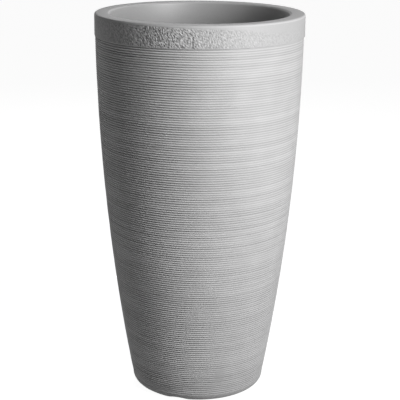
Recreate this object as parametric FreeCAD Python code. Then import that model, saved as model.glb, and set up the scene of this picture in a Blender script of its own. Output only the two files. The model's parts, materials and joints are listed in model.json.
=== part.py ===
import FreeCAD, Part
import math
import os

# A tall round floor planter, moulded in one piece from grey plastic, with a loose planting shelf inside
# and rubber stoppers in the drain holes of its floor. Millimetres, +Z up, and the origin is the centre of
# the ring that the planter stands on. The front of the planter faces -Y.

# Overall form of the shell
HEIGHT = 663.0
RIM_DIAMETER = 356.0
BASE_DIAMETER = 228.8        # where the line of the wall would meet the ground
WALL_BULGE = 13.7            # how far the wall swells beyond a straight taper, half way up
WALL = 5.0
FOOT_CORNER = 16.0           # rounding between the wall and the ground

# Rim: a plain band outside, a flat top and a return lip that hangs inside the mouth
BAND_HEIGHT = 37.0
BAND_STEP = 0.8              # how far the band stands proud of the combed wall
RIM_WIDTH = 26.0
RIM_EDGE = 3.2               # rounding of the outer top edge
RIM_ROLL = 4.0               # rounding of the inner top edge
LIP_DROP = 46.0              # from the rim's top to the free edge of the lip
LIP_EDGE = 1.5               # rounding of that free edge

# Comb marks round the wall
GROOVE_PITCH = 3.9
GROOVE_DEPTH = 1.0

# Base: the middle of the floor is raised, so that the planter stands on a ring
FLOOR = 9.0
FLOOR_RISE = 9.0
RING_WIDTH = 20.0            # from the rounded corner of the foot to where the floor steps up
INNER_CORNER = 8.0           # rounding between the wall and the floor, inside
SOFT_EDGE = 4.0              # rounding where the floor steps up

# Drainage: each hole in the raised floor lies behind a notch in the standing ring
DRAIN_COUNT = 3
DRAIN_ANGLE = 252.0          # the first notch, just left of the front
DRAIN_INSET = 27.0           # from the edge of the raised floor to the middle of a hole
DRAIN_BORE = 22.0
NOTCH_WIDTH = 44.0
NOTCH_DEPTH = 6.0

# Rubber stoppers, pushed up into the drain holes from below
STOPPER_FIT = 0.08           # radial clearance in the hole
STOPPER_TAPER = 0.6          # how much slimmer the stem is at its tip than at its foot, on the radius
STOPPER_REACH = 4.0          # how far the stem stands up past the floor
STOPPER_TIP = 1.5            # rounding of the stem's tip
FLANGE_OVERLAP = 5.5         # how far the flange reaches beyond the hole
FLANGE_HEIGHT = 2.5
FLANGE_EDGE = 1.2
GRIP_LENGTH = 22.0
GRIP_WIDTH = 5.0
GRIP_GROUND_GAP = 2.0        # room left under the bar that a stopper is pulled by

# Planting shelf, which wedges in the taper of the wall
SHELF_LEVEL = 205.0          # height of its top face
SHELF_PLATE = 4.0
SHELF_SKIRT = 22.0           # height of the edge that bears on the wall
SHELF_SKIRT_WALL = 3.5
SHELF_FIT = 0.3              # clearance to the wall
SHELF_EDGE = 2.0             # bevel round the top
RIB_COUNT = 8
RIB_WIDTH = 3.0
RIB_HEIGHT = 12.0
HUB_DIAMETER = 44.0
SHELF_HOLE = 8.0
SHELF_HOLE_ROWS = 3
FINGER_SLOT_LENGTH = 62.0
FINGER_SLOT_WIDTH = 26.0
FINGER_SLOT_BAYS = (0, RIB_COUNT // 2)       # opposite bays that have a slot in place of holes

# Sizes that follow from the ones above
RIM_RADIUS = RIM_DIAMETER / 2
BASE_RADIUS = BASE_DIAMETER / 2
LIP_RADIUS = RIM_RADIUS - RIM_WIDTH
BAND_FOOT = HEIGHT - BAND_HEIGHT
FLOOR_TOP = FLOOR_RISE + FLOOR
PLATE_FOOT = SHELF_LEVEL - SHELF_PLATE
SKIRT_FOOT = SHELF_LEVEL - SHELF_SKIRT
RIB_FOOT = PLATE_FOOT - RIB_HEIGHT
BAY_ANGLE = 360.0 / RIB_COUNT
DRAIN_ANGLES = [DRAIN_ANGLE + number * 360.0 / DRAIN_COUNT for number in range(DRAIN_COUNT)]

AXIS_FOOT = FreeCAD.Vector(0, 0, 0)
UP = FreeCAD.Vector(0, 0, 1)


def at(radius, height):
    """A point of a section, which lies in the XZ plane."""
    return FreeCAD.Vector(radius, 0, height)


def around(radius, angle, height=0.0):
    """A point at that distance from the axis, at that angle in degrees."""
    turn = math.radians(angle)
    return FreeCAD.Vector(radius * math.cos(turn), radius * math.sin(turn), height)


# The ridges between the comb marks lie on one circle, from the ground to the foot of the band
WALL_CIRCLE = Part.Arc(
    at(BASE_RADIUS, 0),
    at((BASE_RADIUS + RIM_RADIUS - BAND_STEP) / 2 + WALL_BULGE, BAND_FOOT / 2),
    at(RIM_RADIUS - BAND_STEP, BAND_FOOT),
).toShape().Curve


def wall_radius(height, inset=0.0):
    """Distance from the axis to a surface that lies inset millimetres inside the outer wall."""
    rise = height - WALL_CIRCLE.Center.z
    return WALL_CIRCLE.Center.x + math.sqrt((WALL_CIRCLE.Radius - inset) ** 2 - rise ** 2)


def wall_edge(low, high, inset):
    """The arc between two heights that lies inset millimetres inside the outer wall."""
    heights = (low, (low + high) / 2, high)
    return Part.Arc(*[at(wall_radius(height, inset), height) for height in heights]).toShape()


def wall_corner(level, inset, rounding):
    """The arc that rounds a wall into a level floor: its start on the floor, its middle and its end."""
    centre = at(wall_radius(level + rounding, inset + rounding), level + rounding)
    outward = (centre - WALL_CIRCLE.Center).normalize()
    start = centre - UP * rounding
    middle = centre + (outward - UP).normalize() * rounding
    end = centre + outward * rounding
    return start, middle, end


def rounded_line(corners):
    """Edges along (radius, height, rounding) corners, each corner rounded by a tangent arc."""
    points = [at(radius, height) for radius, height, _ in corners]
    roundings = [rounding for _, _, rounding in corners]
    edges = []
    last = points[0]
    for before, corner, after, rounding in zip(points, points[1:], points[2:], roundings[1:]):
        back = (before - corner).normalize()
        onward = (after - corner).normalize()
        half_angle = back.getAngle(onward) / 2
        setback = rounding / math.tan(half_angle)
        start = corner + back * setback
        end = corner + onward * setback
        edges.append(Part.LineSegment(last, start).toShape())
        if rounding > 0:
            bisector = (back + onward).normalize()
            middle = corner + bisector * (rounding / math.sin(half_angle) - rounding)
            edges.append(Part.Arc(start, middle, end).toShape())
        last = end
    edges.append(Part.LineSegment(last, points[-1]).toShape())
    return edges


def revolved(edges):
    """The solid that a closed section sweeps round the axis."""
    return Part.Face(Part.Wire(edges)).revolve(AXIS_FOOT, UP, 360)


def obround(length, width, height):
    """A bar with round ends, upright on the origin and lying along Y."""
    half_run = (length - width) / 2
    block = Part.makeBox(width, 2 * half_run, height, FreeCAD.Vector(-width / 2, -half_run, 0))
    ends = [
        Part.makeCylinder(width / 2, height, FreeCAD.Vector(0, side * half_run, 0), UP)
        for side in (-1, 1)
    ]
    return block.fuse(ends).removeSplitter()


# Planter shell

FOOT_CORNER_ARC = wall_corner(0, 0, FOOT_CORNER)
STEP_FOOT_RADIUS = FOOT_CORNER_ARC[0].x - RING_WIDTH
STEP_HEAD_RADIUS = STEP_FOOT_RADIUS - FLOOR_RISE
DRAIN_RADIUS = STEP_HEAD_RADIUS - DRAIN_INSET


def comb_marks(low, high):
    """Edges up the combed wall: ridges on the wall's circle, with a groove between each two."""
    count = max(1, round((high.z - low.z) / GROOVE_PITCH))
    pitch = (high.z - low.z) / count
    points = [low]
    for groove in range(count):
        valley = low.z + (groove + 0.5) * pitch
        ridge = low.z + (groove + 1) * pitch
        points.append(at(wall_radius(valley, GROOVE_DEPTH), valley))
        points.append(at(wall_radius(ridge), ridge))
    points[-1] = high
    return [Part.LineSegment(start, end).toShape() for start, end in zip(points, points[1:])]


def shell_section():
    """The closed section of the shell: under the floor, up the outside, over the rim, down the inside."""
    foot_start, foot_middle, foot_end = FOOT_CORNER_ARC
    inner_start, inner_middle, inner_end = wall_corner(FLOOR, WALL, INNER_CORNER)
    wall_top = at(wall_radius(BAND_FOOT), BAND_FOOT)
    lip_foot = HEIGHT - LIP_DROP
    step_offset = FLOOR * math.tan(math.radians(45) / 2)     # keeps the floor as thick on its 45 degree step

    underside = [
        (0, FLOOR_RISE, 0),
        (STEP_HEAD_RADIUS, FLOOR_RISE, SOFT_EDGE),
        (STEP_FOOT_RADIUS, 0, SOFT_EDGE),
        (foot_start.x, 0, 0),
    ]
    rim = [
        (wall_top.x, BAND_FOOT, 0),
        (RIM_RADIUS, BAND_FOOT, 0),
        (RIM_RADIUS, HEIGHT, RIM_EDGE),
        (LIP_RADIUS, HEIGHT, RIM_ROLL),
        (LIP_RADIUS, lip_foot, LIP_EDGE),
        (LIP_RADIUS + WALL, lip_foot, LIP_EDGE),
        (LIP_RADIUS + WALL, HEIGHT - WALL, max(RIM_ROLL - WALL, 0)),
        (RIM_RADIUS - WALL, HEIGHT - WALL, 0),
        (RIM_RADIUS - WALL, BAND_FOOT, 0),
        (wall_radius(BAND_FOOT, WALL), BAND_FOOT, 0),
    ]
    inside = [
        (inner_start.x, FLOOR, 0),
        (STEP_FOOT_RADIUS + step_offset, FLOOR, SOFT_EDGE),
        (STEP_HEAD_RADIUS + step_offset, FLOOR_TOP, SOFT_EDGE),
        (0, FLOOR_TOP, 0),
    ]
    return (
        rounded_line(underside)
        + [Part.Arc(foot_start, foot_middle, foot_end).toShape()]
        + comb_marks(foot_end, wall_top)
        + rounded_line(rim)
        + [wall_edge(inner_end.z, BAND_FOOT, WALL)]
        + [Part.Arc(inner_end, inner_middle, inner_start).toShape()]
        + rounded_line(inside)
        + [Part.LineSegment(at(0, FLOOR_TOP), at(0, FLOOR_RISE)).toShape()]
    )


def drain_notch(angle):
    """A cutter for a shallow arch through the standing ring: a round bar that lies below the ground."""
    bar_radius = (NOTCH_WIDTH ** 2 / 4 + NOTCH_DEPTH ** 2) / (2 * NOTCH_DEPTH)
    start = around(STEP_HEAD_RADIUS, angle, NOTCH_DEPTH - bar_radius)
    return Part.makeCylinder(bar_radius, BASE_RADIUS, start, around(1, angle))


def drain_bore(angle):
    """A cutter for a drain hole."""
    return Part.makeCylinder(DRAIN_BORE / 2, 2 * FLOOR_TOP, around(DRAIN_RADIUS, angle), UP)


def planter_shell():
    cutters = [cutter(angle) for angle in DRAIN_ANGLES for cutter in (drain_notch, drain_bore)]
    return revolved(shell_section()).cut(cutters)


# Drain stoppers

def drain_stopper(angle):
    """A tapered stem in the drain hole, a flange under the floor and a bar to pull it by."""
    stem_radius = DRAIN_BORE / 2 - STOPPER_FIT
    flange_radius = DRAIN_BORE / 2 + FLANGE_OVERLAP
    flange_foot = FLOOR_RISE - FLANGE_HEIGHT
    stem_top = FLOOR_TOP + STOPPER_REACH
    body = revolved(rounded_line([
        (0, flange_foot, 0),
        (flange_radius, flange_foot, FLANGE_EDGE),
        (flange_radius, FLOOR_RISE, 0),
        (stem_radius, FLOOR_RISE, 0),
        (stem_radius - STOPPER_TAPER, stem_top, STOPPER_TIP),
        (0, stem_top, 0),
        (0, flange_foot, 0),
    ]))
    grip = obround(GRIP_LENGTH, GRIP_WIDTH, flange_foot - GRIP_GROUND_GAP)
    grip.translate(at(0, GRIP_GROUND_GAP))
    stopper = body.fuse(grip).removeSplitter()
    stopper.rotate(AXIS_FOOT, UP, angle)
    stopper.translate(around(DRAIN_RADIUS, angle))
    return stopper


# Planting shelf

SHELF_OUTSIDE = WALL + SHELF_FIT
SHELF_INSIDE = SHELF_OUTSIDE + SHELF_SKIRT_WALL
PLATE_RADIUS = wall_radius(PLATE_FOOT, SHELF_INSIDE)
HOLE_ROW_STEP = (PLATE_RADIUS - HUB_DIAMETER / 2) / (SHELF_HOLE_ROWS + 1)


def shelf_pan():
    """The plate and the skirt round it, whose outside follows the inside of the wall."""
    bevel_foot = SHELF_LEVEL - SHELF_EDGE
    underside = [
        (0, PLATE_FOOT, 0),
        (PLATE_RADIUS, PLATE_FOOT, 0),
        (wall_radius(SKIRT_FOOT, SHELF_INSIDE), SKIRT_FOOT, 0),
        (wall_radius(SKIRT_FOOT, SHELF_OUTSIDE), SKIRT_FOOT, 0),
    ]
    top = [
        (wall_radius(bevel_foot, SHELF_OUTSIDE), bevel_foot, 0),
        (wall_radius(SHELF_LEVEL, SHELF_OUTSIDE) - SHELF_EDGE, SHELF_LEVEL, 0),
        (0, SHELF_LEVEL, 0),
        (0, PLATE_FOOT, 0),
    ]
    skirt = wall_edge(SKIRT_FOOT, bevel_foot, SHELF_OUTSIDE)
    return revolved(rounded_line(underside) + [skirt] + rounded_line(top))


def shelf_hub():
    """A ring under the middle of the plate, which the ribs run out from."""
    ring = Part.makeCylinder(HUB_DIAMETER / 2, RIB_HEIGHT, at(0, RIB_FOOT), UP)
    return ring.cut(Part.makeCylinder(HUB_DIAMETER / 2 - RIB_WIDTH, RIB_HEIGHT, at(0, RIB_FOOT), UP))


def shelf_rib(number):
    """A rib under the plate, from the hub into the skirt."""
    start = HUB_DIAMETER / 2 - RIB_WIDTH / 2
    end = wall_radius(RIB_FOOT, SHELF_OUTSIDE + SHELF_SKIRT_WALL / 2)
    rib = Part.makeBox(end - start, RIB_WIDTH, RIB_HEIGHT, FreeCAD.Vector(start, -RIB_WIDTH / 2, RIB_FOOT))
    rib.rotate(AXIS_FOOT, UP, (number + 0.5) * BAY_ANGLE)
    return rib


def finger_slot(bay):
    """A cutter for a slot across a bay, to lift the shelf by."""
    slot = obround(FINGER_SLOT_LENGTH, FINGER_SLOT_WIDTH, SHELF_SKIRT)
    middle_row = HUB_DIAMETER / 2 + HOLE_ROW_STEP * (SHELF_HOLE_ROWS + 1) / 2
    slot.translate(at(middle_row, SKIRT_FOOT))
    slot.rotate(AXIS_FOOT, UP, bay * BAY_ANGLE)
    return slot


def shelf_holes(bay):
    """Cutters for the drain holes of a bay: one in the first row from the hub, two in the next and so on."""
    cutters = []
    for row in range(1, SHELF_HOLE_ROWS + 1):
        radius = HUB_DIAMETER / 2 + row * HOLE_ROW_STEP
        for number in range(row):
            angle = (bay + (number + 0.5) / row - 0.5) * BAY_ANGLE
            cutters.append(
                Part.makeCylinder(SHELF_HOLE / 2, SHELF_SKIRT, around(radius, angle, SKIRT_FOOT), UP)
            )
    return cutters


def planting_shelf():
    ribs = [shelf_rib(number) for number in range(RIB_COUNT)]
    shelf = shelf_pan().fuse([shelf_hub()] + ribs).removeSplitter()
    cutters = []
    for bay in range(RIB_COUNT):
        if bay in FINGER_SLOT_BAYS:
            cutters.append(finger_slot(bay))
        else:
            cutters += shelf_holes(bay)
    return shelf.cut(cutters)


def main():
    os.makedirs("parts", exist_ok=True)
    nodes = {"planter_shell": planter_shell(), "planting_shelf": planting_shelf()}
    for number, angle in enumerate(DRAIN_ANGLES, start=1):
        nodes[f"drain_stopper_{number}"] = drain_stopper(angle)
    for name, shape in nodes.items():
        shape.exportStep(f"parts/{name}.step")
        print(name, "solids", len(shape.Solids), "valid", shape.isValid(), "volume", round(shape.Volume))


main()
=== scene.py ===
import json
import math
import random

import bpy
from mathutils import Euler, Matrix, Vector, noise


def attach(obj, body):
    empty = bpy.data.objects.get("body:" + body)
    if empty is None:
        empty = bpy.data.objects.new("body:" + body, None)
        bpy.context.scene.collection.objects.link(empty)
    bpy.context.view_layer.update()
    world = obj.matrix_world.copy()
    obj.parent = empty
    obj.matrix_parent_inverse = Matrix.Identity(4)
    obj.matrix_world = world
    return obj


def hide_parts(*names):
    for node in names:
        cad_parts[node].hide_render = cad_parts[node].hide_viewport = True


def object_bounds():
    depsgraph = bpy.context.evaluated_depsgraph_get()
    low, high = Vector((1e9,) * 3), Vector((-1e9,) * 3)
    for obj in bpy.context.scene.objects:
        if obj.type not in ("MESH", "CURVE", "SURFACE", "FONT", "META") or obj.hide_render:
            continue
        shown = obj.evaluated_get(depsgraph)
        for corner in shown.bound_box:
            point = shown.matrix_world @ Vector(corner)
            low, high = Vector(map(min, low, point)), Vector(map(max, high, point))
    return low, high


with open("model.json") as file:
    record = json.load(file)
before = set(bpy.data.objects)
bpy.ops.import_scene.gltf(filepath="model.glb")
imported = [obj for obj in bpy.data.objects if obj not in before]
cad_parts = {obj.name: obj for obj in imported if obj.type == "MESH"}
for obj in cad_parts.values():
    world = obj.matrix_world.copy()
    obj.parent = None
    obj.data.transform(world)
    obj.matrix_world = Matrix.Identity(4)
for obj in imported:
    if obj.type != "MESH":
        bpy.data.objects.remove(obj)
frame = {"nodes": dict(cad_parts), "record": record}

cadLow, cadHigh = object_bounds()
mm = 0.001                           # the scene is in metres
bpy.context.scene.view_settings.view_transform = "Standard"


def useObject(piece):
    bpy.ops.object.select_all(action="DESELECT")
    bpy.context.view_layer.objects.active = piece
    piece.select_set(True)


def editMode(piece):
    useObject(piece)
    bpy.ops.object.mode_set(mode="EDIT")


def objectMode():
    bpy.ops.object.mode_set(mode="OBJECT")


def at(radius, height):
    return Vector((radius, 0, height))       # a point of a section, which lies in the XZ plane


def mountNamed(name):
    return next(mount for mount in frame["record"]["mounts"] if mount["name"] == name)


# Planter shell: the solid's own section, with the comb marks worked into the mesh and a recess for the band

shell = {
    "height": cadHigh.z,
    "rimRadius": 178 * mm,
    "lipRadius": mountNamed("mouth")["dims"]["r_mm"] * mm,
    "baseRadius": 114.4 * mm,        # where the line of the wall would meet the ground
    "bulge": 13.7 * mm,              # how far the wall swells beyond a straight taper
    "wall": 5 * mm,
    "footCorner": 16 * mm,
    "bandHeight": 37 * mm,
    "bandStep": 0.8 * mm,
    "bandSeat": 1.6 * mm,            # depth of the recess in which the wrinkled band sits
    "rimEdge": 3.2 * mm,
    "rimRoll": 4 * mm,
    "lipDrop": 46 * mm,
    "lipEdge": 1.5 * mm,
    "floor": 9 * mm,
    "floorRise": 9 * mm,
    "ringWidth": 20 * mm,
    "innerCorner": 8 * mm,
    "softEdge": 4 * mm,
    "innerRows": 14,
    "turns": 192,                    # faces round the shell
    "mergeGap": 0.02 * mm,           # points nearer than this are one
    "crispAngle": 30,                # degrees, edges sharper than this aren't shaded smooth
}
bandFoot = shell["height"] - shell["bandHeight"]
bandTop = shell["height"] - shell["rimEdge"]

comb = {
    "pitch": 3.9 * mm,
    "depth": 1.5 * mm,               # before wear
    "unevenDepth": 0.12,             # share by which one groove differs from the next
    "unevenPitch": 0.07,
    "wobble": 0.7 * mm,              # how far the lines stray up and down
    "wobbleLength": 90 * mm,
    "drag": 0.15 * mm,               # lumps that the comb leaves on the ridges
    "dragLength": 24 * mm,
    "noiseDetail": 2,                # of the noise behind wobble and drag
    "endRows": 3,                    # rows at each end of the wall over which both fade
    "seed": 7,
}

wear = {
    "passes": 5,                     # of smoothing
    "angle": 340,                    # degrees, the side on which the planter is worn
    "range": (-0.1, 0.86),           # cosines of the turn from there: wear starts, wear is full
    "worstRange": (0.62, 0.97),      # and the same for the worst of it
    "byBand": 0.96,                  # strength of each pass on that side, next to the band
    "byFoot": 0.62,
    "patch": 0.26,                   # strength of each pass in faint patches all over the wall
    "patchRange": (0.0, 0.5),        # values of a noise: a patch starts, a patch is full
    "patchDensity": 14,              # waves of the noise in a metre
    "patchFlat": 3,                  # how much longer than tall a patch is
    "footPatch": 0.7,                # and in more patches round the foot
    "footRange": (-0.4, 0.2),
    "footHeight": 45 * mm,
    "paintedSideShade": 0.08,                 # painted shade: how much darker the upper part of the worn side is, where the lamps light it most
    "sideShadeFoot": 360 * mm,
}

smudge = {                           # a blurred patch of comb marks by the foot
    "angle": 288,                    # degrees
    "height": 52 * mm,
    "width": 9 * mm,
    "length": 20 * mm,
    "reach": 1.3,                    # how many widths or lengths it reaches
    "soft": 0.6,                     # how many of them its edge takes
}

# the wall darker towards the foot, and painted bounce light on the foot's edge
footLightAndTone = {
    "footDarkening": 0.10,                    # how much darker the wall is by the foot
    "darkeningFoot": 15 * mm,
    "darkeningTop": 80 * mm,
    "paintedBounceLight": 0.32,                   # painted bounce light: how much lighter the foot's rounded edge is, for light from the floor
    "bounceLightTop": 12 * mm,
}

drain = {
    "count": 3,
    "firstAngle": 252,               # degrees, the notch just left of the front
    "inset": 27 * mm,
    "bore": 22 * mm,
    "notchWidth": 44 * mm,
    "notchDepth": 6 * mm,
    "boreSides": 64,
    "notchSides": 256,
}


def circleThrough(a, b, c):
    ab, ac = b - a, c - a
    twiceArea = 2 * (ab.x * ac.z - ab.z * ac.x)
    toCentre = at(
        (ac.z * ab.length_squared - ab.z * ac.length_squared) / twiceArea,
        (ab.x * ac.length_squared - ac.x * ab.length_squared) / twiceArea,
    )
    return a + toCentre, toCentre.length


wallTopRadius = shell["rimRadius"] - shell["bandStep"]
wallCentre, wallCircle = circleThrough(
    at(shell["baseRadius"], 0),
    at((shell["baseRadius"] + wallTopRadius) / 2 + shell["bulge"], bandFoot / 2),
    at(wallTopRadius, bandFoot),
)


def wallRadius(height, inset=0.0):
    return wallCentre.x + math.sqrt((wallCircle - inset) ** 2 - (height - wallCentre.z) ** 2)


def onWall(height, inset=0.0):
    return at(wallRadius(height, inset), height)


def arcBetween(centre, start, end, steps=6):
    fromCentre = (start - centre).normalized()
    toEnd = (end - centre).normalized()
    radius = (start - centre).length
    return [centre + fromCentre.slerp(toEnd, step / steps) * radius for step in range(steps + 1)]


def wallCorner(level, inset, rounding):
    centre = onWall(level + rounding, inset + rounding)
    outward = (centre - wallCentre).normalized()
    return arcBetween(centre, centre - at(0, rounding), centre + outward * rounding)


def roundedPath(corners):
    points = [at(radius, height) for radius, height, _ in corners]
    path = [points[0]]
    for before, corner, after, (_, _, rounding) in zip(points, points[1:], points[2:], corners[1:]):
        if rounding == 0:
            path.append(corner)
            continue
        back = (before - corner).normalized()
        onward = (after - corner).normalized()
        halfAngle = back.angle(onward) / 2
        centre = corner + (back + onward).normalized() * (rounding / math.sin(halfAngle))
        setback = rounding / math.tan(halfAngle)
        path += arcBetween(centre, corner + back * setback, corner + onward * setback)
    return path + [points[-1]]


def combedWall(low, high):
    draw = random.Random(comb["seed"])
    count = round((high - low) / comb["pitch"])
    pitch = (high - low) / count
    path = []
    for groove in range(count):
        middle = low + (groove + 0.5 + draw.uniform(-1, 1) * comb["unevenPitch"]) * pitch
        depth = comb["depth"] * (1 + draw.uniform(-1, 1) * comb["unevenDepth"])
        path.append(onWall(middle, depth))
        if groove < count - 1:
            path.append(onWall(low + (groove + 1) * pitch))
    return path


footArc = wallCorner(0, 0, shell["footCorner"])
innerArc = wallCorner(shell["floor"], shell["wall"], shell["innerCorner"])
stepFoot = footArc[0].x - shell["ringWidth"]
stepSlope = math.radians(45)         # of the step between the standing ring and the raised floor
stepHead = stepFoot - shell["floorRise"]
floorTop = shell["floorRise"] + shell["floor"]


def shellOutline():
    top, wall, lip = shell["height"], shell["wall"], shell["lipRadius"]
    rim, soft, lipFoot = shell["rimRadius"], shell["softEdge"], shell["height"] - shell["lipDrop"]
    offset = shell["floor"] * math.tan(stepSlope / 2)
    underside = roundedPath([
        (0, shell["floorRise"], 0),
        (stepHead, shell["floorRise"], soft),
        (stepFoot, 0, soft),
        (footArc[0].x, 0, 0),
    ])
    seat = rim - shell["bandSeat"]
    band = [onWall(bandFoot), at(seat, bandFoot), at(seat, bandTop)]
    overRim = roundedPath([
        (rim, bandFoot, 0),
        (rim, top, shell["rimEdge"]),
        (lip, top, shell["rimRoll"]),
        (lip, lipFoot, shell["lipEdge"]),
        (lip + wall, lipFoot, shell["lipEdge"]),
        (lip + wall, top - wall, max(shell["rimRoll"] - wall, 0)),
        (rim - wall, top - wall, 0),
        (rim - wall, bandFoot, 0),
        (wallRadius(bandFoot, wall), bandFoot, 0),
    ])[1:]
    innerRows = shell["innerRows"]
    innerTop = bandFoot - innerArc[-1].z
    inside = [onWall(bandFoot - innerTop * row / innerRows, wall) for row in range(1, innerRows)]
    inside += innerArc[::-1]
    inside += roundedPath([
        (innerArc[0].x, shell["floor"], 0),
        (stepFoot + offset, shell["floor"], soft),
        (stepHead + offset, floorTop, soft),
        (0, floorTop, 0),
    ])[1:]
    return underside + footArc[1:] + combedWall(footArc[-1].z, bandFoot) + band + overRim + inside


def tracedOutline(name, points):
    bpy.ops.object.select_all(action="DESELECT")
    bpy.ops.mesh.primitive_plane_add(size=2 * mm)
    piece = bpy.context.object
    piece.name = name
    piece.data.name = name
    editMode(piece)
    bpy.ops.mesh.select_all(action="SELECT")
    bpy.ops.mesh.merge(type="CENTER")            # one point, which is then drawn along the outline
    bpy.ops.transform.translate(value=points[0])
    for before, after in zip(points, points[1:]):
        bpy.ops.mesh.extrude_vertices_move(TRANSFORM_OT_translate={"value": after - before})
    objectMode()
    return piece


def spinRound(piece, turns):
    editMode(piece)
    bpy.ops.mesh.select_all(action="SELECT")
    bpy.ops.mesh.spin(
        steps=turns, angle=math.tau, center=(0, 0, 0), axis=(0, 0, 1), use_auto_merge=False)
    bpy.ops.mesh.select_all(action="SELECT")
    bpy.ops.mesh.remove_doubles(threshold=shell["mergeGap"])
    bpy.ops.mesh.normals_make_consistent(inside=False)
    objectMode()


def cutAway(piece, cutter):
    useObject(piece)
    cut = piece.modifiers.new("drainCut", "BOOLEAN")
    cut.operation = "DIFFERENCE"
    cut.object = cutter
    cut.solver = "MANIFOLD"
    bpy.ops.object.modifier_apply(modifier=cut.name)
    bpy.data.objects.remove(cutter)


def cutDrains(piece):
    # a round hole through the floor, and a shallow notch across the standing ring, in line with each other
    radius = stepHead - drain["inset"]
    barRadius = (drain["notchWidth"] ** 2 / 4 + drain["notchDepth"] ** 2) / (2 * drain["notchDepth"])
    barLength = shell["baseRadius"]
    for number in range(drain["count"]):
        angle = math.radians(drain["firstAngle"] + number * 360 / drain["count"])
        outward = Vector((math.cos(angle), math.sin(angle), 0))
        bpy.ops.object.select_all(action="DESELECT")
        bpy.ops.mesh.primitive_cylinder_add(
            vertices=drain["boreSides"], radius=drain["bore"] / 2, depth=4 * floorTop,
            location=outward * radius)
        cutAway(piece, bpy.context.object)
        bpy.ops.object.select_all(action="DESELECT")
        bpy.ops.mesh.primitive_cylinder_add(
            vertices=drain["notchSides"], radius=barRadius, depth=barLength,
            location=outward * (stepHead + barLength / 2) + Vector((0, 0, drain["notchDepth"] - barRadius)),
            rotation=(0, math.pi / 2, angle))
        cutAway(piece, bpy.context.object)


def isOutside(point):
    # the outside of the wall and the rim, and what lies lower than the floor next to the wall
    nearWall = math.hypot(point.x, point.y) > wallRadius(min(point.z, bandFoot)) - 2 * comb["depth"]
    return nearWall or point.z < shell["floor"]


def fadeIn(value, start, end):
    # 0 up to the start, 1 from the end on, and a soft rise between them
    share = min(1.0, max(0.0, (value - start) / (end - start)))
    return share * share * (3 - 2 * share)


def alongFrom(point, angle):
    # distance round the wall from an angle in degrees, positive to the right in the picture
    turn = math.atan2(point.y, point.x) - math.radians(angle)
    return math.remainder(turn, math.tau) * math.hypot(point.x, point.y)


def facingWear(point):
    # 1 at the middle of the worn side, and -1 on the far side
    return math.cos(math.atan2(point.y, point.x) - math.radians(wear["angle"]))


def wornSide(point):
    return fadeIn(facingWear(point), *wear["range"])


def mostWorn(point):
    return fadeIn(facingWear(point), *wear["worstRange"])


def smearAt(point):
    # how strongly each pass smooths the comb marks
    patches = noise.noise(Vector((point.x, point.y, point.z * wear["patchFlat"])) * wear["patchDensity"])
    across = alongFrom(point, smudge["angle"]) / smudge["width"]
    up = (point.z - smudge["height"]) / smudge["length"]
    worn = wear["byFoot"] + (wear["byBand"] - wear["byFoot"]) * point.z / bandFoot
    nearFoot = 1 - fadeIn(point.z - footArc[-1].z, 0, wear["footHeight"])
    return max(
        wear["patch"] * fadeIn(patches, *wear["patchRange"]),
        worn * wornSide(point),
        wear["footPatch"] * nearFoot * fadeIn(patches, *wear["footRange"]),
        fadeIn(smudge["reach"] - math.hypot(across, up), 0, smudge["soft"]),
    )


def markRegions(piece):
    combed = piece.vertex_groups.new(name="combed")
    smeared = piece.vertex_groups.new(name="smeared")
    low, high = footArc[-1].z, bandFoot
    edge = comb["endRows"] * comb["pitch"]
    for vertex in piece.data.vertices:
        point = vertex.co
        if isOutside(point) and low < point.z < high:
            weight = fadeIn(point.z, low, low + edge) * fadeIn(high - point.z, 0, edge)
            combed.add([vertex.index], weight, "REPLACE")
            smeared.add([vertex.index], smearAt(point), "REPLACE")


def applyDisplace(piece, name, group, direction, strength, size):
    cloud = bpy.data.textures.new(name, "CLOUDS")
    cloud.noise_scale = size
    cloud.noise_depth = comb["noiseDetail"]
    push = piece.modifiers.new(name, "DISPLACE")
    push.texture = cloud
    push.texture_coords = "LOCAL"
    push.vertex_group = group
    push.direction = direction
    push.strength = strength
    useObject(piece)
    bpy.ops.object.modifier_apply(modifier=push.name)


def applySmear(piece):
    smear = piece.modifiers.new("smear", "SMOOTH")
    smear.vertex_group = "smeared"
    smear.iterations = wear["passes"]
    useObject(piece)
    bpy.ops.object.modifier_apply(modifier=smear.name)


def storeMark(piece, name, values):
    attribute = piece.data.attributes.new(name, "FLOAT", "POINT")
    attribute.data.foreach_set("value", values)


# the wall darker towards the foot, and painted bounce light on the foot's edge
def footTone(height):
    footDarkening = footLightAndTone["footDarkening"] * (1 - fadeIn(height, footLightAndTone["darkeningFoot"], footLightAndTone["darkeningTop"]))
    paintedBounceLight = footLightAndTone["paintedBounceLight"] * (1 - fadeIn(height, 0, footLightAndTone["bounceLightTop"]))
    return paintedBounceLight - footDarkening


# painted shade on the upper part of the worn side
def paintedSideShade(point):
    return wear["paintedSideShade"] * mostWorn(point) * fadeIn(point.z, wear["sideShadeFoot"], bandFoot)


def markShell(piece):
    # for the finish: painted shade in the grooves, with ridges +0.5 and groove feet -0.5; the wall darker
    # towards the foot, painted bounce light on the foot's edge and painted shade on the upper worn side are
    # added, and the smooth inside is told from the rest
    raised, inside = [], []
    for vertex in piece.data.vertices:
        point = vertex.co
        radius = math.hypot(point.x, point.y)
        outside = isOutside(point)
        below = (wallRadius(min(point.z, bandFoot)) - radius) / comb["depth"]
        line = 0.5 - below if footArc[-1].z < point.z < bandFoot else 0.0
        raised.append(line + footTone(point.z) - paintedSideShade(point) if outside else 0.0)
        inside.append(float(not outside and radius < shell["lipRadius"] + shell["rimRoll"] / 4))
    storeMark(piece, "paintedLightShadeAndTone", raised)
    storeMark(piece, "smoothInside", inside)


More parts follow.
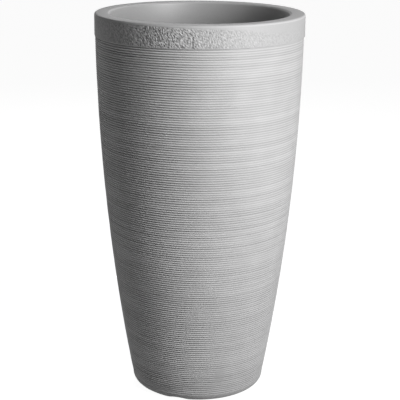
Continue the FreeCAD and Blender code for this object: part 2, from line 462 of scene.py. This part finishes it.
def makeShell():
    piece = tracedOutline("planterShell", shellOutline())
    spinRound(piece, shell["turns"])
    cutDrains(piece)
    markRegions(piece)
    applyDisplace(piece, "combDrag", "combed", "NORMAL", comb["drag"], comb["dragLength"])
    applyDisplace(piece, "combWobble", "combed", "Z", comb["wobble"], comb["wobbleLength"])
    applySmear(piece)
    markShell(piece)
    useObject(piece)
    bpy.ops.object.shade_smooth_by_angle(angle=math.radians(shell["crispAngle"]))
    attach(piece, "shell")
    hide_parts("planter_shell")
    print("planter shell:", len(piece.data.vertices), "points,", len(piece.data.polygons), "faces")
    return piece


planterShell = makeShell()


# Rim band: the wrinkled outside of the rim, a ring on a finer mesh that sits in the shell's recess

wrinkle = {
    "depth": 1.0 * mm,
    "middle": 0.5,                   # share of the depth that the wrinkles have on average
    "width": 1.7 * mm,               # half the distance from one wrinkle to the next
    "stretch": 1.7,                  # how much longer than wide they are
    "coarse": 0.9,                   # how much of them is coarse, and how much is fine
    "fine": 0.3,
    "fineness": 2.1,                 # how much smaller the fine ones are
    "fineShift": (5, 9, 2),          # so that they aren't a copy of the coarse ones
    "lean": 0.45,                    # how far they lean over to the left at the top
    "leanSpread": 0.4,
    "leanLength": 30 * mm,
    "patchAngle": 250,               # degrees, where the wrinkles are deepest, as they are on the far side
    "patchSpread": 28,
    "elsewhere": 0.25,               # share of the depth between those patches
    "margin": 1.6 * mm,              # smooth strip along both edges of the band
    "wornStrip": 6 * mm,             # how much wider it is under the rim's edge on the worn side
    "paintedStripHighlight": 0.07,                # and its painted highlight, how much lighter it is
    "bareStrip": 14 * mm,            # how much wider again where the wear is worst
    "bareShare": 0.5,                # share of the depth that is lost there
    "gap": 0.1 * mm,                 # between the ring's back and the recess
    "rows": 45,
    "turns": 1536,
    "crispAngle": 75,                # degrees, edges sharper than this aren't shaded smooth
}

seam = {
    "angle": 266.5,                  # degrees, just left of the front
    "depth": 0.55,                   # share of the wrinkles' depth
    "width": 0.9 * mm,
    "corner": 5 * mm,
    "wave": 2.2 * mm,                # how far the line strays
    "waveLength": 11 * mm,
    "fade": 0.85,                    # share of its depth that it loses towards the rim
}


def wrinkleHeight(point):
    lean = wrinkle["lean"] + wrinkle["leanSpread"] * noise.noise(point / wrinkle["leanLength"])
    turn = Matrix.Rotation(lean * (point.z - bandFoot) / shell["rimRadius"], 3, "Z")
    place = turn @ Vector((point.x, point.y, point.z / wrinkle["stretch"])) / wrinkle["width"]
    coarse = noise.noise(place)
    fine = noise.noise(place * wrinkle["fineness"] + Vector(wrinkle["fineShift"]))
    return wrinkle["coarse"] * coarse + wrinkle["fine"] * fine


def patchAt(point):
    turn = math.degrees(math.atan2(point.y, point.x)) - wrinkle["patchAngle"]
    away = math.remainder(turn, 180) / wrinkle["patchSpread"]
    return wrinkle["elsewhere"] + (1 - wrinkle["elsewhere"]) * math.exp(-away ** 2)


def seamAt(point):
    # the end of the textured strip: a line up the band, which turns along the band's foot to the right
    up = point.z - bandFoot
    corner = seam["corner"]
    along = alongFrom(point, seam["angle"])
    if abs(along) > 3 * corner:
        return 0.0
    stray = seam["wave"] * noise.noise(Vector((0, 0, up / seam["waveLength"])))
    along += stray * fadeIn(up, corner, 2 * corner)
    away = abs(along)
    if up < corner:
        away = abs(math.hypot(along - corner, up - corner) - corner) if along < corner else up
    return math.exp(-(away / seam["width"]) ** 2) * (1 - seam["fade"] * fadeIn(up, corner, 4 * corner))


def topStrip(point):
    # 1 in the smooth strip under the rim's edge, and 0 below it
    strip = wrinkle["wornStrip"] * wornSide(point) + wrinkle["bareStrip"] * mostWorn(point)
    return 1 - fadeIn(bandTop - point.z, strip / 2, strip + wrinkle["margin"])


def bandHeight(point):
    roughness = fadeIn(point.z - bandFoot, 0, wrinkle["margin"]) * (1 - topStrip(point))
    shareLeft = 1 - wrinkle["bareShare"] * mostWorn(point)
    height = wrinkleHeight(point) * patchAt(point) * shareLeft - seam["depth"] * seamAt(point)
    return min(1.0, max(0.0, wrinkle["middle"] + roughness * height))


# the tone of a point of the band: painted shade in the hollows of the wrinkles and in the seam's line, with
# the ridges lighter
def bandTone(point, height):
    # painted highlight on the smooth strip under the rim's edge
    lighter = wrinkle["paintedStripHighlight"] * wornSide(point) * (1 - mostWorn(point))
    return height - wrinkle["middle"] + lighter * topStrip(point) - paintedSideShade(point)


def plainBand():
    bpy.ops.object.select_all(action="DESELECT")
    bpy.ops.mesh.primitive_cylinder_add(
        vertices=wrinkle["turns"], radius=shell["rimRadius"] - wrinkle["depth"] * wrinkle["middle"],
        depth=bandTop - bandFoot, end_fill_type="NOTHING", location=(0, 0, (bandTop + bandFoot) / 2))
    piece = bpy.context.object
    piece.name = "rimBand"
    piece.data.name = "rimBand"
    bpy.ops.object.transform_apply(location=True, rotation=True, scale=True)
    editMode(piece)
    bpy.ops.mesh.select_mode(type="EDGE")
    bpy.ops.mesh.select_all(action="DESELECT")
    objectMode()
    points = piece.data.vertices
    for edge in piece.data.edges:
        low, high = edge.vertices
        edge.select = abs(points[low].co.z - points[high].co.z) > mm         # the upright ones
    editMode(piece)
    bpy.ops.mesh.subdivide(number_cuts=wrinkle["rows"] - 1)
    bpy.ops.mesh.select_mode(type="VERT")
    objectMode()
    return piece


def closeRing(piece):
    # the strip's two open edges are drawn inwards, and a back joins them
    back = shell["rimRadius"] - shell["bandSeat"] + wrinkle["gap"]
    share = back / shell["rimRadius"]
    editMode(piece)
    bpy.ops.mesh.select_all(action="DESELECT")
    bpy.ops.mesh.select_non_manifold()
    bpy.ops.mesh.extrude_region_move(TRANSFORM_OT_translate={"value": (0, 0, 0)})
    bpy.ops.transform.resize(value=(share, share, 1), center_override=(0, 0, 0))
    bpy.ops.mesh.bridge_edge_loops()
    bpy.ops.mesh.select_all(action="SELECT")
    bpy.ops.mesh.normals_make_consistent(inside=False)
    objectMode()


def makeBand():
    piece = plainBand()
    raised = piece.vertex_groups.new(name="raised")
    tones = []
    for vertex in piece.data.vertices:
        height = bandHeight(vertex.co)
        raised.add([vertex.index], height, "REPLACE")
        tones.append(bandTone(vertex.co, height))
    storeMark(piece, "paintedLightShadeAndTone", tones)
    push = piece.modifiers.new("wrinkles", "DISPLACE")
    push.vertex_group = "raised"
    push.mid_level = 0.0
    push.strength = wrinkle["depth"]
    useObject(piece)
    bpy.ops.object.modifier_apply(modifier=push.name)
    closeRing(piece)
    bpy.ops.object.shade_smooth_by_angle(angle=math.radians(wrinkle["crispAngle"]))
    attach(piece, "shell")
    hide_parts("planter_shell")
    print("rim band:", len(piece.data.vertices), "points,", len(piece.data.polygons), "faces")
    return piece


rimBand = makeBand()


# Shader groups that more than one finish uses

def newGroup(name, inputs, outputs):
    group = bpy.data.node_groups.new(name, "ShaderNodeTree")
    for socketName, value in inputs:
        socket = group.interface.new_socket(socketName, in_out="INPUT", socket_type="NodeSocketFloat")
        socket.default_value = value
    for socketName in outputs:
        group.interface.new_socket(socketName, in_out="OUTPUT", socket_type="NodeSocketFloat")
    start = group.nodes.new("NodeGroupInput")
    end = group.nodes.new("NodeGroupOutput")
    return group, start, end


def addNode(tree, kind, **settings):
    node = tree.nodes.new(kind)
    for key, value in settings.items():
        setattr(node, key, value)
    return node


def mathNode(tree, operation, first, second):
    node = addNode(tree, "ShaderNodeMath", operation=operation)
    for socket, value in zip(node.inputs, (first, second)):
        if isinstance(value, bpy.types.NodeSocket):
            tree.links.new(value, socket)
        else:
            socket.default_value = value
    return node.outputs[0]


def objectPoint(tree, stretch=(1, 1, 1)):
    place = addNode(tree, "ShaderNodeTexCoord")
    mapping = addNode(tree, "ShaderNodeMapping")
    mapping.inputs["Scale"].default_value = stretch
    tree.links.new(place.outputs["Object"], mapping.inputs["Vector"])
    return mapping.outputs["Vector"]


def noiseNode(tree, vector, scale, detail=2.0, roughness=0.5):
    node = addNode(tree, "ShaderNodeTexNoise")
    tree.links.new(vector, node.inputs["Vector"])
    if isinstance(scale, bpy.types.NodeSocket):
        tree.links.new(scale, node.inputs["Scale"])
    else:
        node.inputs["Scale"].default_value = scale
    node.inputs["Detail"].default_value = detail
    node.inputs["Roughness"].default_value = roughness
    return node.outputs["Fac"]


def makeMouldGrain():
    # the fine pebbled skin that a blasted mould leaves on plastic and rubber
    group, start, end = newGroup("mouldGrain", [("Density", 900.0)], ["Height"])
    fine = noiseNode(group, objectPoint(group), start.outputs["Density"], detail=3.0, roughness=0.6)
    group.links.new(fine, end.inputs["Height"])
    return group


def makeToneDrift():
    # slow changes of tone over a surface, as a share around 1
    group, start, end = newGroup("toneDrift", [("Density", 9.0), ("Amount", 0.08)], ["Tone"])
    slow = noiseNode(group, objectPoint(group), start.outputs["Density"], detail=4.0, roughness=0.6)
    centred = mathNode(group, "SUBTRACT", slow, 0.5)
    scaled = mathNode(group, "MULTIPLY", centred, start.outputs["Amount"])
    group.links.new(mathNode(group, "ADD", scaled, 1.0), end.inputs["Tone"])
    return group


mouldGrain = makeMouldGrain()
toneDrift = makeToneDrift()


def newFinish(name):
    material = bpy.data.materials.new(name)
    material.use_nodes = True
    tree = material.node_tree
    return material, tree, tree.nodes["Principled BSDF"]


def useGroup(tree, group, **values):
    node = addNode(tree, "ShaderNodeGroup", node_tree=group)
    for socketName, value in values.items():
        node.inputs[socketName].default_value = value
    return node


def tinted(tree, colour, tone):
    # a colour made lighter or darker by a tone around 1
    node = addNode(tree, "ShaderNodeVectorMath", operation="SCALE")
    node.inputs[0].default_value = colour
    tree.links.new(tone, node.inputs["Scale"])
    return node.outputs["Vector"]


def driftTone(tree, finish):
    return useGroup(tree, toneDrift, Density=finish["driftDensity"], Amount=finish["drift"]).outputs["Tone"]


def grainHeight(tree, finish):
    return useGroup(tree, mouldGrain, Density=finish["grainDensity"]).outputs["Height"]


def bumpNode(tree, height, finish):
    node = addNode(tree, "ShaderNodeBump")
    node.inputs["Strength"].default_value = finish["bump"]
    node.inputs["Distance"].default_value = finish["bumpDepth"]
    tree.links.new(height, node.inputs["Height"])
    return node.outputs["Normal"]


def attributeNode(tree, name):
    return addNode(tree, "ShaderNodeAttribute", attribute_name=name).outputs["Fac"]


shellFinish = {
    "colour": (0.50, 0.498, 0.50),
    "paintedGrooveShade": 1.15,              # painted shade in the grooves and wrinkles: how much lighter a ridge is than the foot of a groove; it also scales the other painted light and tones stored with it
    "paintedBandShade": 0.13,               # painted shade: how much darker the whole band is, for the shade among its wrinkles
    "paintedInsideShade": 0.40,             # painted shade inside the mouth: the inside is darker; the smooth inside also shines a little
    "insideShine": 1.0,
    "shineRoughness": 0.47,
    "shineIndex": 1.6,
    "speckle": 0.10,
    "speckleDensity": 620,
    "speckleRoughness": 0.7,
    "drift": 0.10,
    "driftDensity": 7,
    "roughness": 0.72,
    "specular": 0.2,
    "grainDensity": 950,
    "streakDensity": 120,
    "streakFlat": 9,                 # how much longer than tall the streaks of the comb are
    "streakDetail": 3,
    "bump": 0.35,
    "bumpDepth": 0.4 * mm,
}


def makeShellFinish(name, shade):
    material, tree, principled = newFinish(name)
    drift = driftTone(tree, shellFinish)
    speckle = noiseNode(
        tree, objectPoint(tree), shellFinish["speckleDensity"], roughness=shellFinish["speckleRoughness"])
    speckle = mathNode(tree, "MULTIPLY", mathNode(tree, "SUBTRACT", speckle, 0.5), shellFinish["speckle"])
    # painted shade in the grooves and wrinkles, with the other painted light and tones stored with it
    worn = mathNode(tree, "MULTIPLY", attributeNode(tree, "paintedLightShadeAndTone"), shellFinish["paintedGrooveShade"])
    tone = mathNode(tree, "ADD", mathNode(tree, "ADD", drift, speckle), worn)
    # painted shade over a whole piece, given as shade
    tone = mathNode(tree, "SUBTRACT", tone, shade)
    inside = attributeNode(tree, "smoothInside")
    # painted shade inside the mouth
    tone = mathNode(tree, "SUBTRACT", tone, mathNode(tree, "MULTIPLY", inside, shellFinish["paintedInsideShade"]))
    tree.links.new(tinted(tree, shellFinish["colour"], tone), principled.inputs["Base Color"])
    roughness = mathNode(tree, "MULTIPLY", drift, shellFinish["roughness"])
    tree.links.new(roughness, principled.inputs["Roughness"])
    principled.inputs["Specular IOR Level"].default_value = shellFinish["specular"]
    shine = mathNode(tree, "MULTIPLY", inside, shellFinish["insideShine"])
    tree.links.new(shine, principled.inputs["Coat Weight"])
    principled.inputs["Coat Roughness"].default_value = shellFinish["shineRoughness"]
    principled.inputs["Coat IOR"].default_value = shellFinish["shineIndex"]
    flatStreaks = objectPoint(tree, (1, 1, shellFinish["streakFlat"]))
    streaks = noiseNode(tree, flatStreaks, shellFinish["streakDensity"], detail=shellFinish["streakDetail"])
    height = mathNode(tree, "ADD", grainHeight(tree, shellFinish), streaks)
    tree.links.new(bumpNode(tree, height, shellFinish), principled.inputs["Normal"])
    return material


shelfFinish = {
    "colour": (0.045, 0.046, 0.048),
    "drift": 0.25,
    "driftDensity": 22,
    "roughness": 0.80,
    "specular": 0.06,
    "grainDensity": 1400,
    "bump": 0.3,
    "bumpDepth": 0.3 * mm,
}

stopperFinish = {
    "colour": (0.022, 0.022, 0.023),
    "drift": 0.35,
    "driftDensity": 60,
    "roughness": 0.68,
    "specular": 0.5,
    "grainDensity": 2200,
    "bump": 0.35,
    "bumpDepth": 0.2 * mm,
}


def makeBlackFinish(name, finish):
    material, tree, principled = newFinish(name)
    drift = driftTone(tree, finish)
    tree.links.new(tinted(tree, finish["colour"], drift), principled.inputs["Base Color"])
    tree.links.new(mathNode(tree, "MULTIPLY", drift, finish["roughness"]), principled.inputs["Roughness"])
    principled.inputs["Specular IOR Level"].default_value = finish["specular"]
    tree.links.new(bumpNode(tree, grainHeight(tree, finish), finish), principled.inputs["Normal"])
    return material


def dress(piece, material):
    piece.data.materials.clear()
    piece.data.materials.append(material)


dress(planterShell, makeShellFinish("combedGreyPlastic", 0.0))
# the band gets painted shade, darker all over
dress(rimBand, makeShellFinish("wrinkledGreyPlastic", shellFinish["paintedBandShade"]))
dress(frame["nodes"]["planting_shelf"], makeBlackFinish("blackShelfPlastic", shelfFinish))
stopperRubber = makeBlackFinish("blackStopperRubber", stopperFinish)
for number in range(1, drain["count"] + 1):
    dress(frame["nodes"][f"drain_stopper_{number}"], stopperRubber)
print("finishes: combed shell, wrinkled band, shelf, stoppers")


# Stage, light and camera

stage = {
    "floorSize": 60.0,
    "floorTone": 0.80,               # as the camera sees it
    "bounceTone": 0.30,              # as it lights the planter
    "whiteShare": 0.72,              # how much of what the camera sees of the floor is plain white
    "white": 1.33,                   # strength of that white
    "ambient": 0.01,
}


def seenDirectly(tree):
    # 1 for the camera, for reflections and for what is seen through glass, and 0 for light on the planter
    path = addNode(tree, "ShaderNodeLightPath")
    glossy = mathNode(tree, "MAXIMUM", path.outputs["Is Glossy Ray"], path.outputs["Is Transmission Ray"])
    return mathNode(tree, "MAXIMUM", path.outputs["Is Camera Ray"], glossy)


def makeFloor():
    bpy.ops.object.select_all(action="DESELECT")
    bpy.ops.mesh.primitive_plane_add(size=stage["floorSize"])
    floor = bpy.context.object
    floor.name = "studioFloor"
    material, tree, principled = newFinish("studioWhite")
    seen = seenDirectly(tree)
    extra = mathNode(tree, "MULTIPLY", seen, stage["floorTone"] - stage["bounceTone"])
    tone = mathNode(tree, "ADD", extra, stage["bounceTone"])
    tree.links.new(tone, principled.inputs["Base Color"])
    principled.inputs["Roughness"].default_value = 1.0
    principled.inputs["Specular IOR Level"].default_value = 0.0
    glow = addNode(tree, "ShaderNodeEmission")
    glow.inputs["Strength"].default_value = stage["white"]
    mix = addNode(tree, "ShaderNodeMixShader")
    share = mathNode(tree, "MULTIPLY", seen, stage["whiteShare"])
    tree.links.new(share, mix.inputs["Fac"])
    tree.links.new(principled.outputs["BSDF"], mix.inputs[1])
    tree.links.new(glow.outputs["Emission"], mix.inputs[2])
    tree.links.new(mix.outputs["Shader"], tree.nodes["Material Output"].inputs["Surface"])
    floor.data.materials.append(material)


def makeWorld():
    world = bpy.data.worlds.new("studioWorld")
    bpy.context.scene.world = world
    world.use_nodes = True
    tree = world.node_tree
    soft = tree.nodes["Background"]
    soft.inputs["Color"].default_value = (1, 1, 1, 1)
    soft.inputs["Strength"].default_value = stage["ambient"]
    white = addNode(tree, "ShaderNodeBackground")
    white.inputs["Color"].default_value = (1, 1, 1, 1)
    mix = addNode(tree, "ShaderNodeMixShader")
    tree.links.new(seenDirectly(tree), mix.inputs["Fac"])
    tree.links.new(soft.outputs["Background"], mix.inputs[1])
    tree.links.new(white.outputs["Background"], mix.inputs[2])
    tree.links.new(mix.outputs["Shader"], tree.nodes["World Output"].inputs["Surface"])


lamps = {                            # in degrees, metres and watts
    "keyLamp": {
        "azimuth": 46, "distance": 1.45, "height": 1.08, "aim": 0.85,
        "width": 0.75, "tall": 0.8, "power": 33, "spread": 180,
    },
    "leftLamp": {
        "azimuth": -80, "distance": 1.5, "height": 0.30, "aim": 0.40,
        "width": 0.6, "tall": 0.5, "power": 2.4, "spread": 180,
    },
    "backLamp": {
        "azimuth": -172, "distance": 2.2, "height": 1.60, "aim": 0.40,
        "width": 1.2, "tall": 0.6, "power": 12.5, "spread": 180,
    },
    "rearLamp": {
        "azimuth": -175, "distance": 2.6, "height": 0.45, "aim": 0.40,
        "width": 0.5, "tall": 0.3, "power": 2, "spread": 32,
    },
}


def makeLamp(name, lamp):
    # azimuth 0 is in front of the planter, and positive is to its right in the picture
    angle = math.radians(lamp["azimuth"])
    place = Vector((math.sin(angle) * lamp["distance"], -math.cos(angle) * lamp["distance"], lamp["height"]))
    bpy.ops.object.select_all(action="DESELECT")
    bpy.ops.object.light_add(type="AREA", location=place)
    light = bpy.context.object
    light.name = name
    light.data.shape = "RECTANGLE"
    light.data.size = lamp["width"]
    light.data.size_y = lamp["tall"]
    light.data.energy = lamp["power"]
    light.data.spread = math.radians(lamp["spread"])
    light.visible_camera = False
    light.rotation_euler = (Vector((0, 0, lamp["aim"])) - place).to_track_quat("-Z", "Y").to_euler()


view = {
    "distance": 2.080,
    "height": 0.9115,
    "pitch": 0.271,                  # radians below level
    "yaw": -0.00112,
    "roll": 0.007,
    "focalPixels": 1226.66,
    "imagePixels": 400,
    "clipEnd": 200,                  # past the floor's far corners
}


def makeCamera():
    bpy.ops.object.select_all(action="DESELECT")
    bpy.ops.object.camera_add(location=(0, -view["distance"], view["height"]))
    camera = bpy.context.object
    camera.name = "photoCamera"
    level = Euler((math.pi / 2 - view["pitch"], 0, view["yaw"])).to_matrix()
    camera.rotation_euler = (level @ Matrix.Rotation(view["roll"], 3, "Z")).to_euler()
    camera.data.lens = view["focalPixels"] * camera.data.sensor_width / view["imagePixels"]
    camera.data.clip_end = view["clipEnd"]
    bpy.context.scene.camera = camera


makeFloor()
makeWorld()
for lampName, lamp in lamps.items():
    makeLamp(lampName, lamp)
makeCamera()
print("stage: floor, world, lamps, camera")
